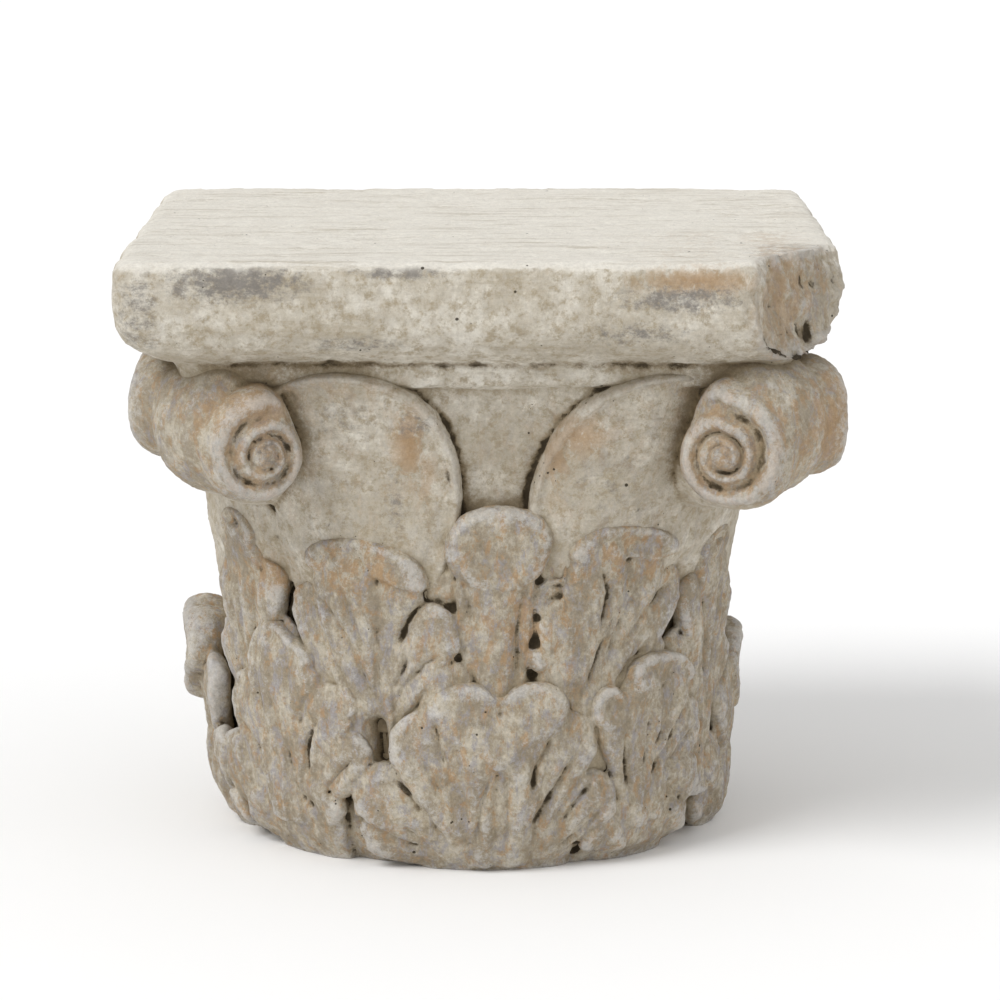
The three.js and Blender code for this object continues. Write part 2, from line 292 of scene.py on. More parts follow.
def vein(clay, leaf, depth, *points, width=1.3):
    """A narrow crease to be cut along points, (across, up) from the leaf's root."""
    mirror, stretch, rise = leaf.get("mirror", 1), leaf.get("wide", 1.0), leaf.get("tall", 1.0)
    line = [(leaf["angle"] + math.degrees(across * mirror * stretch / WRAP_RADIUS),
             leaf["foot"] + up * rise) for across, up in points]
    clay.veins.append((width, depth, line))


BIG = {"curl": 8.0, "turn": 88, "flap": 0, "thick": 14, "lean": (1.5, 7.0)}
FINGER = {"curl": 6.0, "turn": 85, "flap": 0, "thick": 13, "lean": (0.5, 7.0)}
SMALL = {"curl": 4.0, "turn": 80, "flap": 0, "thick": 11.5, "lean": (0.0, 6.0)}


def centre_leaf(clay, leaf):
    """A broad leaf of the lower row: two rolled lobes that meet as a heart, three a side."""
    blade(clay, leaf, (0, -8), (0, 66), 108, spread=0.85, thick=leaf.get("body", 12))
    lobe(clay, leaf, (50, -2), (82, 22), 27, step=-3, bend=0.55, **SMALL)
    lobe(clay, leaf, (-30, 0), (-80, 26), 28, step=-3, bend=0.6, **SMALL)
    lobe(clay, leaf, (32, 6), (67, 50), 32, step=-2, bend=0.5, **FINGER)
    lobe(clay, leaf, (-20, 9), (-78, 52), 36, step=-1.5, bend=0.62, **FINGER)
    lobe(clay, leaf, (14, 6), (50, 84), 33, step=-0.5, bend=0.45, **FINGER)
    lobe(clay, leaf, (-14, 6), (-50, 85), 41, step=1, bend=0.42, **FINGER)
    lobe(clay, leaf, (9, 2), (16, 90), 35, grooves=(-0.6, 0.5), bend=0.2, narrow=0.6, **BIG)
    lobe(clay, leaf, (-9, 2), (-14, 90), 36, grooves=(-0.5, 0.6), bend=0.2, narrow=0.6, **BIG)
    pad(clay, leaf, 9, leaf.get("lip", 6), 0.5, (-40, 86), (-28, 101), (-8, 101), (2, 91),
        (12, 101), (30, 101), (42, 88), (34, 72), (17, 68), (3, 50), (-14, 66), (-34, 70))
    vein(clay, leaf, 3, (2, 98), (2, 80), width=2.0)
    vein(clay, leaf, 3, (-41, 68), (-32, 50), (-22, 23))
    vein(clay, leaf, 4, (-60, 52), (-48, 44), (-40, 30))
    vein(clay, leaf, 4, (-32, 84), (-29, 66), (-25, 56))
    vein(clay, leaf, 3, (-53, 27), (-43, 17), (-34, 10))
    vein(clay, leaf, 4, (-1, 60), (-4, 50), (-8, 36), (-13, 12))
    vein(clay, leaf, 4, (5, 60), (6, 48), (6, 28), (4, 10))
    vein(clay, leaf, 6, (31, 74), (21, 56), (20, 40), width=1.6)
    vein(clay, leaf, 4, (43, 66), (40, 58), (30, 41), (15, 18))
    vein(clay, leaf, 4, (54, 48), (43, 35), (36, 23))
    vein(clay, leaf, 3, (63, 36), (46, 19), (35, 10))


def corner_leaf(clay, leaf):
    """A leaf of the lower row under a volute, tall, with hooked lobes on one side."""
    blade(clay, leaf, (-4, -8), (-2, 88), 82, spread=0.75)
    lobe(clay, leaf, (-10, -3), (-50, 30), 28, step=-3, bend=0.6, **SMALL)
    lobe(clay, leaf, (-30, 5), (-66, 56), 32, step=-2, bend=0.5, **FINGER)
    lobe(clay, leaf, (-24, 14), (-42, 96), 31, step=-1, bend=0.4, **FINGER)
    lobe(clay, leaf, (10, 8), (32, 46), 26, step=-2, bend=0.5, **SMALL)
    lobe(clay, leaf, (12, 20), (52, 72), 30, step=-0.5, bend=0.5, **FINGER)
    lobe(clay, leaf, (8, 22), (40, 95), 33, step=0.5, bend=0.35, **FINGER)
    pad(clay, leaf, 8, 5, 0.8, (22, 88), (38, 99), (50, 90), (46, 80), (34, 76), (40, 68), (30, 62),
        (22, 70))
    lobe(clay, leaf, (0, 18), (14, 109), 33, step=0, bend=0.3, **BIG)
    lobe(clay, leaf, (-10, 18), (-9, 121), 38, step=1.5, bend=0.3, **BIG)
    pad(clay, leaf, 9, 6, 0.6, (-30, 104), (-20, 122), (-4, 126), (8, 116), (24, 110), (18, 98),
        (0, 104), (-14, 98))
    vein(clay, leaf, 3, (-9, 92), (-7, 71), (0, 57), (4, 40))
    vein(clay, leaf, 3, (-19, 100), (-17, 76), (-12, 50))
    vein(clay, leaf, 4, (-45, 69), (-32, 59), (-17, 44))
    vein(clay, leaf, 4, (14, 43), (14, 59), (20, 73), (27, 80))
    vein(clay, leaf, 3, (22, 93), (15, 85), (9, 68))
    vein(clay, leaf, 3, (0, 46), (7, 34), (19, 24))
    vein(clay, leaf, 4, (23, 38), (34, 49), (47, 60))


def fan_leaf(clay, leaf):
    """The other corner leaf of the lower row: a fan of short lobes and one round knob."""
    blade(clay, leaf, (2, -8), (4, 74), 82, spread=0.75)
    lobe(clay, leaf, (18, -3), (42, 26), 26, step=-3, bend=0.5, **SMALL)
    lobe(clay, leaf, (-16, -3), (-38, 28), 26, step=-3, bend=0.5, **SMALL)
    lobe(clay, leaf, (18, 10), (42, 53), 29, step=-2, bend=0.5, **FINGER)
    lobe(clay, leaf, (12, 18), (42, 82), 29, step=-1, bend=0.45, **FINGER)
    lobe(clay, leaf, (-10, 22), (-27, 90), 23, step=0, bend=0.35, grooves=(), **FINGER)
    pad(clay, leaf, 9, 5, 1.0, (-38, 82), (-34, 94), (-22, 96), (-15, 86), (-18, 74), (-30, 70))
    lobe(clay, leaf, (8, 20), (22, 100), 31, step=0.5, bend=0.35, **BIG)
    lobe(clay, leaf, (-3, 18), (-4, 103), 31, step=1, bend=0.3, **BIG)
    pad(clay, leaf, 9, 6, 0.6, (-16, 94), (-12, 106), (6, 110), (26, 106), (38, 94), (28, 88),
        (12, 94), (-4, 90))
    vein(clay, leaf, 4, (-18, 76), (-15, 56), (-11, 38))
    vein(clay, leaf, 3, (-1, 88), (-1, 58), (-3, 42))
    vein(clay, leaf, 4, (33, 86), (15, 60), (1, 40))
    vein(clay, leaf, 3, (20, 92), (9, 66), (1, 50))
    vein(clay, leaf, 4, (40, 66), (26, 58), (11, 42))
    vein(clay, leaf, 3, (15, 42), (26, 32), (36, 24))


def tall_leaf(clay, leaf):
    """A leaf of the upper row: a broad crown of two lobes over narrow folded ones."""
    blade(clay, leaf, (0, -30), (0, 86), 54, spread=0.5)
    lobe(clay, leaf, (8, -4), (44, 36), 25, step=-1, bend=0.6, **SMALL)
    lobe(clay, leaf, (-8, -4), (-40, 48), 25, step=-2, bend=0.5, **SMALL)
    lobe(clay, leaf, (6, -2), (54, 54), 27, step=-0.5, bend=0.55, **FINGER)
    lobe(clay, leaf, (4, 2), (44, 84), 36, step=0.5, bend=0.5, **FINGER)
    lobe(clay, leaf, (-7, -2), (-43, 91), 27, step=-0.5, bend=0.45, **FINGER)
    lobe(clay, leaf, (4, -2), (14, 106), 42, step=0.5, bend=0.35, narrow=0.3, **BIG)
    lobe(clay, leaf, (-3, -2), (-15, 110), 40, step=2.5, bend=0.35, narrow=0.3, **BIG)
    pad(clay, leaf, 9, 7, 0.5, (-36, 98), (-30, 112), (-10, 118), (14, 114), (32, 104), (34, 88),
        (20, 90), (4, 98), (-18, 94))
    vein(clay, leaf, 4, (-33, 92), (-19, 77), (-10, 65), (-4, 50), (3, 33), (4, 18))
    vein(clay, leaf, 3, (7, 82), (5, 56), (7, 39), (8, 20))
    vein(clay, leaf, 7, (32, 87), (22, 74), (17, 59), width=1.6)
    vein(clay, leaf, 4, (26, 62), (15, 41), (12, 18))
    vein(clay, leaf, 4, (46, 60), (31, 53), (19, 40), (14, 26))
    vein(clay, leaf, 4, (33, 42), (26, 30), (15, 18))
    vein(clay, leaf, 3, (-30, 86), (-25, 68), (-17, 50), (-6, 28))
    vein(clay, leaf, 3, (-14, 96), (-6, 74), (0, 52))
    vein(clay, leaf, 12, (3, 18), (5, 2), width=4.0)


def leaning_leaf(clay, leaf):
    """A leaf of the upper row that leans away from its root, with a big knob behind."""
    blade(clay, leaf, (-22, -30), (2, 88), 58, spread=0.55)
    lobe(clay, leaf, (-6, 6), (28, 68), 27, step=-1.5, bend=0.5, **SMALL)
    lobe(clay, leaf, (-14, 8), (38, 95), 28, step=-0.5, bend=0.5, **FINGER)
    lobe(clay, leaf, (-28, -2), (-47, 58), 20, step=-2, bend=0.3, grooves=(), **SMALL)
    knob(clay, leaf, (-47, 54), 9, 6)
    lobe(clay, leaf, (-26, 4), (-37, 88), 36, step=1.0, bend=0.3, **FINGER)
    lobe(clay, leaf, (-20, 6), (17, 110), 37, step=0.5, bend=0.42, narrow=0.3, **BIG)
    lobe(clay, leaf, (-24, 6), (-12, 115), 40, step=1.5, bend=0.3, narrow=0.35, **BIG)
    pad(clay, leaf, 9, 7, 0.6, (-38, 104), (-26, 120), (-4, 122), (20, 116), (34, 104), (18, 98),
        (-4, 104), (-22, 98))
    pad(clay, leaf, 7, 5, 0.8, (-54, 84), (-46, 96), (-30, 94), (-24, 80), (-34, 70), (-48, 72))
    vein(clay, leaf, 5, (-33, 108), (-34, 87))
    vein(clay, leaf, 4, (-54, 82), (-45, 90), (-34, 91), (-26, 86))
    vein(clay, leaf, 5, (-19, 104), (-11, 86), (-15, 63))
    vein(clay, leaf, 4, (2, 92), (-8, 70), (-17, 48), (-29, 24))
    vein(clay, leaf, 3, (12, 98), (-4, 67), (-20, 30))
    vein(clay, leaf, 4, (36, 92), (12, 73), (-3, 52))
    vein(clay, leaf, 4, (20, 56), (6, 48), (-6, 36))


def edge_leaf(clay, leaf):
    """A slender leaf of the upper row, close to a corner."""
    blade(clay, leaf, (-6, -30), (0, 88), 50, spread=0.6)
    lobe(clay, leaf, (4, 2), (38, 68), 27, step=-1, bend=0.5, **SMALL)
    lobe(clay, leaf, (-8, 2), (-38, 60), 27, step=-1, bend=0.5, **SMALL)
    lobe(clay, leaf, (2, 6), (28, 97), 28, step=0, bend=0.4, **FINGER)
    lobe(clay, leaf, (-8, 6), (-22, 94), 28, step=0, bend=0.3, **FINGER)
    lobe(clay, leaf, (-4, 6), (3, 115), 40, step=0.5, bend=0.3, **BIG)
    pad(clay, leaf, 8, 6, 0.7, (-18, 106), (-10, 120), (8, 122), (22, 110), (16, 98), (0, 100))
    vein(clay, leaf, 3, (-3, 100), (-6, 70), (-5, 20))
    vein(clay, leaf, 4, (14, 96), (8, 66), (0, 26))
    vein(clay, leaf, 4, (-14, 88), (-15, 60), (-8, 24))


def bud_leaf(clay, leaf):
    """A narrow leaf between two tall ones: a stalk that opens into a round head."""
    blade(clay, leaf, (0, -20), (0, 84), 84, proud=0, spread=0.7)
    lobe(clay, leaf, (-16, 20), (-32, 90), 29, step=-3, bend=0.4, **SMALL)
    lobe(clay, leaf, (18, 20), (34, 96), 28, step=-3, bend=0.4, **SMALL)
    lobe(clay, leaf, (0, -12), (0, 104), 44, thick=14, lean=(2, 6), curl=4, turn=60, flap=0,
         narrow=0.72, grooves=(-0.6, 0.5), depth=2.4)
    pad(clay, leaf, 7, 7, 0.5, (-29, 96), (-22, 112), (0, 117), (23, 112), (30, 97), (25, 80), (11, 70),
        (-9, 70), (-24, 80))
    vein(clay, leaf, 3, (-23, 92), (-17, 76), (-10, 50))
    vein(clay, leaf, 3, (18, 86), (14, 70), (11, 50), (12, 18))
    vein(clay, leaf, 2, (-21, 97), (-15, 105), (-6, 109))
    vein(clay, leaf, 3, (-27, 45), (-15, 18))


# ---- The casting, part by part -----------------------------------------------------


def bell_skin(clay, low, high, proud=0.0):
    heights = np.linspace(low, high, 60)[:, None]
    angles = np.linspace(0, 360, 240, endpoint=False)[None]
    clay.tube(on_bell(angles, heights, proud))


def shield(clay, face, across):
    """A domed shield with a bead just inside its edge."""
    share = np.concatenate([np.linspace(0.01, 0.8, 14), np.linspace(0.82, 1.0, 30)])[:, None]
    turn = np.linspace(0, 2 * np.pi, 160, endpoint=False)[None]
    dome = 14 - 6 * (share / 0.88) ** 2
    fade = smooth((np.cos(turn) + 0.75) / 0.5)
    bead = 3.6 * np.exp(-(((share - 0.945) / 0.030) ** 2)) * fade
    edge = 1 - smooth((share - 0.975) / 0.025)
    proud = np.where(share < 0.88, dome, 8.0 - 18 * np.clip(share - 0.88, 0, 1)) + bead
    proud = proud * edge
    back = np.full_like(proud[:1], -24.0)
    share = np.vstack([[[0.01]], [[1.0]], share[::-1]])
    proud = np.vstack([back, back, proud[::-1]])
    place = across + share * np.sin(turn) * SHIELD["half_width"]
    height = SHIELD["height"] + share * np.cos(turn) * SHIELD["half_height"]
    angle = face + np.degrees(place / WRAP_RADIUS)
    clay.tube(on_bell(angle, height, np.broadcast_to(proud, place.shape)))


def turned(points, angle, reach, height):
    """Points of (outward, along the ring, up), carried to a place on a diagonal."""
    swing = math.radians(angle - 90)
    x, y, z = points[..., 0] + reach, points[..., 1], points[..., 2]
    return np.stack([x * math.cos(swing) - y * math.sin(swing),
                     x * math.sin(swing) + y * math.cos(swing), z + height], -1)


def scroll(clay, angle, reach, side, half, size, lift, worn):
    """One end of a volute: a short roll with a spiral in its face.

    Its outline is the spiral's outermost turn, widest where the band comes down from the
    abacus, and it faces between the corner and the side of the capital it belongs to.
    """
    turn = np.linspace(0, 2 * np.pi, 144, endpoint=False)[None]
    run_out = smooth((turn / (2 * np.pi) - 0.82) / 0.18)
    outline = size * SPIRAL["shrink"] ** (turn / (2 * np.pi) * (1 - run_out) * 0.85)
    share = np.linspace(0.015, 1, 70)[:, None]
    radius = share * outline
    phase = np.log(radius / size) / math.log(SPIRAL["shrink"]) - 0.85 * turn / (2 * np.pi)
    place = phase % 1.0
    band = np.sin(np.pi * np.clip(place / 0.62, 0, 1)) ** 0.55
    depth = SPIRAL["depth"] * (1 - 0.5 * worn) * smooth(radius / 6)
    dome = SPIRAL["dome"] * (1 - share**2)
    edge = 8.0 * np.clip((share - 0.72) / 0.28, 0, 1) ** 3
    face = dome - (1 - band) * depth * smooth((1 - share) / 0.08) - edge
    back = np.linspace(0, 1, 14)[1:, None]
    body = outline * (1 + 0.03 * np.sin(np.pi * np.clip(back * 3, 0, 1)))
    depths = -8.0 - back * SPIRAL["length"] + 0 * turn
    radius = np.vstack([radius, body, body[-1:] * 0.01])
    level = np.vstack([face, depths, depths[-1:]])
    facing = math.radians(SPIRAL["facing"])
    across, up = radius * np.sin(turn), radius * np.cos(turn)
    along = side * (level * math.cos(facing) - across * math.sin(facing))
    outward = level * math.sin(facing) + across * math.cos(facing)
    ring = np.stack([outward, along + side * half, up], -1)
    clay.tube(turned(ring, angle, reach, VOLUTE["eye"] + lift))


def volute(clay, angle, reach, scrolls, worn):
    """Two scrolls that meet on a diagonal, and the mass of stone between them."""
    for side, (half, size, lift) in zip((-1, 1), scrolls):
        scroll(clay, angle, reach, side, half, size, lift, worn)
    polar = np.linspace(0.03, np.pi - 0.03, 40)[:, None]
    spin = np.linspace(0, 2 * np.pi, 72, endpoint=False)[None]
    flat = 0.6
    across = np.sign(np.cos(polar)) * np.abs(np.cos(polar)) ** flat * VOLUTE["half"]
    girth = np.sin(polar) ** flat * VOLUTE["radius"]
    ring = np.stack([girth * np.sin(spin), across + 0 * spin, girth * np.cos(spin)], -1)
    clay.tube(turned(ring, angle, reach - 13, VOLUTE["height"]))


def neck(clay, angle, reach):
    """What carries a volute: a swelling that leaves the bell below the abacus."""
    polar = np.linspace(0.02, np.pi - 0.02, 30)[:, None]
    spin = np.linspace(0, 2 * np.pi, 48, endpoint=False)[None]
    ring = np.stack([NECK["out"] * np.sin(polar) * np.cos(spin),
                     NECK["half"] * np.sin(polar) * np.sin(spin),
                     -NECK["up"] * np.cos(polar) + 0 * spin], -1)
    clay.tube(turned(ring, angle, reach - NECK["behind"], VOLUTE["height"] - NECK["below"]))


def square_ring(height, half, corner):
    points = []
    for quarter in range(4):
        middle = math.radians(45 + 90 * quarter)
        centre = (half - corner) * math.sqrt(2) * np.array([math.cos(middle), math.sin(middle)])
        for step in np.linspace(0, 90, 9):
            turn = math.radians(90 * quarter + step)
            points.append([*(centre + corner * np.array([math.cos(turn), math.sin(turn)])), height])
    return points


def abacus():
    clay = Clay()
    clay.tube(np.array([square_ring(*ring) for ring in ABACUS]))
    return clay


def broken_corner():
    clay = Clay()
    front, back = BREAK_LINE[0][1], BREAK_LINE[-1][1]
    rings = []
    for height, *shifts in BREAK_SHIFTS:
        line = [(x + np.interp(y, (front, back), shifts), y, height) for x, y in BREAK_LINE]
        rings.append([(BREAK_BEHIND, front, height), (BREAK_BEHIND, back, height), *line[::-1]])
    clay.tube(np.array(rings, float))
    return clay


# ---- From solids to meshes ---------------------------------------------------------


def raw_object(name, clay):
    points = np.vstack(clay.points) * MM
    faces = np.vstack(clay.faces)
    mesh = bpy.data.meshes.new(name)
    mesh.from_pydata(points.tolist(), [], faces.tolist())
    thing = bpy.data.objects.new(name, mesh)
    bpy.context.scene.collection.objects.link(thing)
    return thing


def apply_modifiers(thing):
    graph = bpy.context.evaluated_depsgraph_get()
    made = bpy.data.meshes.new_from_object(thing.evaluated_get(graph), depsgraph=graph)
    thing.modifiers.clear()
    thing.data = made


def read(mesh, field, width, layer="vertices", kind=np.float32):
    values = np.empty(len(getattr(mesh, layer)) * width, kind)
    getattr(mesh, layer).foreach_get(field, values)
    return values.reshape(-1, width) if width > 1 else values


def corners_of(mesh):
    return read(mesh, "co", 3).astype(float)


def move_corners(mesh, points):
    mesh.vertices.foreach_set("co", points.astype(np.float32).ravel())
    mesh.update()


def neighbours(mesh):
    """The mean over each point's neighbours, as a function of any values at the points."""
    edges = read(mesh, "vertices", 2, "edges", np.int32)
    ends, starts = np.concatenate([edges, edges[:, ::-1]]).T
    many = len(mesh.vertices)
    degree = np.maximum(np.bincount(ends, minlength=many), 1)

    def mean(values):
        if values.ndim == 1:
            return np.bincount(ends, values[starts], many) / degree
        return np.stack([mean(column) for column in values.T], -1)

    return mean, edges


def hollowness(mesh, rounds):
    """How far each point lies below the surface that its surroundings would make."""
    mean, _ = neighbours(mesh)
    points = corners_of(mesh)
    blurred = points
    for _ in range(rounds):
        blurred = mean(blurred)
    return ((blurred - points) * read(mesh, "normal", 3)).sum(1) / MM


def attribute(mesh, name, values):
    layer = mesh.attributes.new(name, "FLOAT", "POINT")
    layer.data.foreach_set("value", values.astype(np.float32))


def crease(thing, clay, depth):
    """Deepens the line where one solid of the casting disappears behind another."""
    mesh = thing.data
    tree = BVHTree.FromPolygons((np.vstack(clay.points) * MM).tolist(), np.vstack(clay.faces).tolist())
    owners, sharpness = np.concatenate(clay.owners), np.array(clay.sharpness)
    found = [tree.find_nearest(point)[2] for point in corners_of(mesh).tolist()]
    owner = owners[np.array(found)]
    mean, edges = neighbours(mesh)
    first, last = edges.T
    apart = owner[first] != owner[last]
    force = np.minimum(sharpness[owner[first]], sharpness[owner[last]])[apart]
    line = np.zeros(len(owner))
    np.maximum.at(line, first[apart], force)
    np.maximum.at(line, last[apart], force)
    valley = hollowness(mesh, 6)
    for _ in range(3):
        valley = mean(valley)
    line *= 0.3 + 0.7 * smooth(valley / 0.5)
    spread = line
    for _ in range(3):
        spread = (spread + mean(spread)) / 2
    spread = np.clip(spread * 1.6, 0, 1)
    move_corners(mesh, corners_of(mesh) - read(mesh, "normal", 3) * (spread * depth * MM)[:, None])


def weathering(thing, name, scale, strength):
    texture = bpy.data.textures.new(name, "CLOUDS")
    texture.noise_scale = scale * MM
    texture.noise_depth = 2
    worn = thing.modifiers.new(name, "DISPLACE")
    worn.texture = texture
    worn.texture_coords = "LOCAL"
    worn.strength = strength * MM
    worn.mid_level = 0.5


def carve(thing, lines):
    """Cuts creases along (angle, height) points: a soft trough with a fine crack in it."""
    points = corners_of(thing.data) / MM
    x = points[:, 0] + interpolate(LEFTWARD, points[:, 2])
    radius = np.hypot(x, points[:, 1])
    angle = np.degrees(np.arctan2(x, -points[:, 1]))
    outward = np.stack([x / radius, points[:, 1] / radius], -1)
    facing = smooth(((read(thing.data, "normal", 3)[:, :2] * outward).sum(1) + 0.1) / 0.5)
    sunk = np.zeros(len(points))
    per_degree = math.radians(1) * WRAP_RADIUS
    for width, depth, line in lines:
        hole = depth >= DEEPEST
        depth = depth if hole else VEIN_SHARE * depth
        steps = [np.array([((a1 - a0 + 180) % 360 - 180) * per_degree, z1 - z0])
                 for (a0, z0), (a1, z1) in zip(line, line[1:])]
        length = sum(np.linalg.norm(step) for step in steps)
        gone = 0.0
        for (a0, z0), step in zip(line, steps):
            near = (angle - a0 + 180) % 360 - 180
            where = np.stack([near * per_degree, points[:, 2] - z0], -1)
            share = np.clip(where @ step / (step @ step), 0, 1)
            gap = np.linalg.norm(where - share[:, None] * step, axis=1)
            along = (gone + share * np.linalg.norm(step)) / length
            taper = 1.0 if hole else smooth(along * 4) * smooth((1 - along) * 4)
            trough = 0.35 * np.exp(-((gap / (2.6 * width)) ** 2))
            crack = 0.65 * np.exp(-((gap / width) ** 2))
            sunk = np.maximum(sunk, depth * taper * (trough + crack))
            gone += np.linalg.norm(step)
    points[:, :2] -= outward * (sunk * facing)[:, None]
    move_corners(thing.data, points * MM)


def roughen(thing, cutter):
    """Breaks up what the cutter left: a fracture shows coarse grains and small spalls."""
    points, normals = corners_of(thing.data), read(thing.data, "normal", 3)
    tree = BVHTree.FromObject(cutter, bpy.context.evaluated_depsgraph_get())
    for index in np.nonzero((points[:, 0] > 0.1) & (points[:, 1] < -0.05))[0]:
        place = Vector(points[index])
        found = tree.find_nearest(place, 0.006)
        if found[0] is None:
            continue
        share = smooth(1.4 - found[3] / 0.0045)
        coarse = noise.noise(place * 60) * 4.2 + noise.noise(place * 140) * 2.0
        points[index] += normals[index] * (coarse + noise.noise(place * 400) * 0.8) * share * MM
    move_corners(thing.data, points)


def cast(name, clay, triangles, voxel=VOXEL, less=None, rounds=2, depth=0.0):
    """Fuses the solids, cuts the creases, rounds and weathers them, and thins the mesh."""
    thing = raw_object(name, clay)
    if less is not None:
        tool = raw_object(name + "_tool", less)
        cut = thing.modifiers.new("break", "BOOLEAN")
        cut.operation, cut.object, cut.solver = "DIFFERENCE", tool, "EXACT"
        apply_modifiers(thing)
    fuse = thing.modifiers.new("fuse", "REMESH")
    fuse.mode, fuse.voxel_size = "VOXEL", voxel * MM
    round_off = thing.modifiers.new("round", "SMOOTH")
    round_off.factor, round_off.iterations = 0.5, rounds
    apply_modifiers(thing)
    if less is not None:
        roughen(thing, tool)
        bpy.data.objects.remove(tool)
    if depth:
        crease(thing, clay, depth)
    if clay.veins:
        carve(thing, clay.veins)
    weathering(thing, "waves", 34, 3.0)
    weathering(thing, "lumps", 9, 1.3)
    weathering(thing, "grain", 3, 0.8)
    apply_modifiers(thing)
    many = sum(len(p.vertices) - 2 for p in thing.data.polygons)
    if many > triangles:
        thin = thing.modifiers.new("thin", "DECIMATE")
        thin.ratio = triangles / many
        apply_modifiers(thing)
    points = corners_of(thing.data)
    points[:, 2] = np.clip(points[:, 2], 0, HEIGHT * MM)
    move_corners(thing.data, points)
    return thing


# ---- The leaves' places ------------------------------------------------------------

LOWER = (
    (centre_leaf, {"angle": 5, "foot": 0}),
    (fan_leaf, {"angle": 40, "foot": 0}),
    (corner_leaf, {"angle": -43, "foot": 0}),
    (centre_leaf, {"angle": 88, "foot": 0, "wide": 0.82, "tall": 1.02, "out": -3, "body": 20, "lip": 8}),
    (corner_leaf, {"angle": 135, "foot": 0, "mirror": -1, "tall": 0.94}),
    (centre_leaf, {"angle": 180, "foot": 0, "mirror": -1, "tall": 1.04, "wide": 0.95}),
    (corner_leaf, {"angle": 225, "foot": 0, "tall": 0.95}),
    (centre_leaf, {"angle": 271, "foot": 0, "wide": 0.82, "tall": 1.14, "out": 3, "body": 22, "lip": 12}),
)
UPPER = (
    (leaning_leaf, {"angle": 33, "foot": 58}),
    (tall_leaf, {"angle": -22, "foot": 57}),
    (bud_leaf, {"angle": 5, "foot": 74}),
    (edge_leaf, {"angle": 61, "foot": 54, "mirror": -1, "out": 0, "tall": 0.96, "wide": 0.9}),
    (edge_leaf, {"angle": -55, "foot": 58, "out": 1, "wide": 0.9, "tall": 1.02}),
    (bud_leaf, {"angle": 90, "foot": 74, "tall": 0.92, "out": -14, "wide": 0.9}),
    (tall_leaf, {"angle": 118, "foot": 58, "tall": 0.98, "wide": 0.85, "out": -5}),
    (leaning_leaf, {"angle": 151, "foot": 58, "wide": 0.95}),
    (bud_leaf, {"angle": 181, "foot": 74, "tall": 0.98}),
    (tall_leaf, {"angle": 209, "foot": 58, "mirror": -1}),
    (edge_leaf, {"angle": 241, "foot": 58, "out": -3}),
    (bud_leaf, {"angle": 270, "foot": 74, "tall": 0.92, "out": -18, "wide": 0.9}),
)
FRONT_LEAVES = 3


def row(leaves, low, high, sunk):
    clay = Clay()
    bell_skin(clay, low, high, sunk)
    for carve_leaf, leaf in leaves:
        carve_leaf(clay, leaf)
    return clay


def bell():
    clay = Clay()
    bell_skin(clay, 70, 258)
    for face, places in SHIELD_PLACES.items():
        for across in places:
            shield(clay, face, across)
    clay.crisp = 0.0
    for angle, reach, scrolls, worn in VOLUTE_PLACES:
        volute(clay, angle, reach, scrolls, worn)
        neck(clay, angle, reach)
    return clay


pieces = [
    cast("capital_abacus", abacus(), 110000, less=broken_corner()),
    cast("capital_bell", bell(), 198000, depth=1.6),
    cast("capital_lower_front", row(LOWER[:FRONT_LEAVES], 0, 60, -2), 196000, depth=2.0),
    cast("capital_lower_back", row(LOWER[FRONT_LEAVES:], 0, 60, -3), 150000, depth=2.0),
    cast("capital_upper_front", row(UPPER[:FRONT_LEAVES], 40, 90, -2), 190000, depth=2.0),
    cast("capital_upper_back", row(UPPER[FRONT_LEAVES:], 40, 90, -3), 140000, depth=2.0),
]


# ---- How hollow the surface is -----------------------------------------------------

CELL = 2.0
MARGIN = 30.0


def occupancy(things):
    """A grid over the whole casting, 1 inside the stone and 0 outside."""
    low = np.array(CAD_LOW) / MM - MARGIN
    high = np.array(CAD_HIGH) / MM + MARGIN
    size = np.ceil((high - low) / CELL).astype(int)
    grid = np.zeros(size, np.float32)
    ray = Vector((0, 0, -1))
    graph = bpy.context.evaluated_depsgraph_get()
    for thing in things:
        tree = BVHTree.FromObject(thing, graph)
        points = corners_of(thing.data) / MM
        first = np.floor((points.min(0) - low) / CELL).astype(int)
        last = np.ceil((points.max(0) - low) / CELL).astype(int)
        for i in range(first[0], last[0]):
            for j in range(first[1], last[1]):
                x, y = low[0] + (i + 0.5) * CELL, low[1] + (j + 0.5) * CELL
                z, hits = high[2], []
                while True:
                    place = tree.ray_cast(Vector((x * MM, y * MM, z * MM)), ray)[0]
                    if place is None:
                        break
                    hits.append(place.z / MM)
                    z = hits[-1] - 0.02
                for top, bottom in zip(hits[::2], hits[1::2]):
                    k0, k1 = ((np.array([bottom, top]) - low[2]) / CELL + 0.5).astype(int)
                    grid[i, j, k0:k1] = 1.0
    return grid, low


def blurred(grid, sigma):
    """The share of stone within reach of each cell, by a Gaussian of this many mm."""
    spectrum = np.fft.rfftn(grid)
    for axis, size in enumerate(grid.shape):
        last = axis == 2
        frequency = np.fft.rfftfreq(size) if last else np.fft.fftfreq(size)
        gauss = np.exp(-2 * (np.pi * frequency * sigma / CELL) ** 2)
        spectrum *= gauss.reshape([-1 if a == axis else 1 for a in range(3)])
    return np.fft.irfftn(spectrum, grid.shape)


def sample(field, low, points):
    """The field's values at points, in mm, blended between cells."""
    place = (points - low) / CELL - 0.5
    cell = np.clip(np.floor(place).astype(int), 0, np.array(field.shape) - 2)
    share = place - cell
    value = np.zeros(len(points))
    for dx in (0, 1):
        for dy in (0, 1):
            for dz in (0, 1):
                corner = np.array([dx, dy, dz])
                weight = np.prod(np.where(corner, share, 1 - share), axis=1)
                value += weight * field[tuple((cell + corner).T)]
    return value


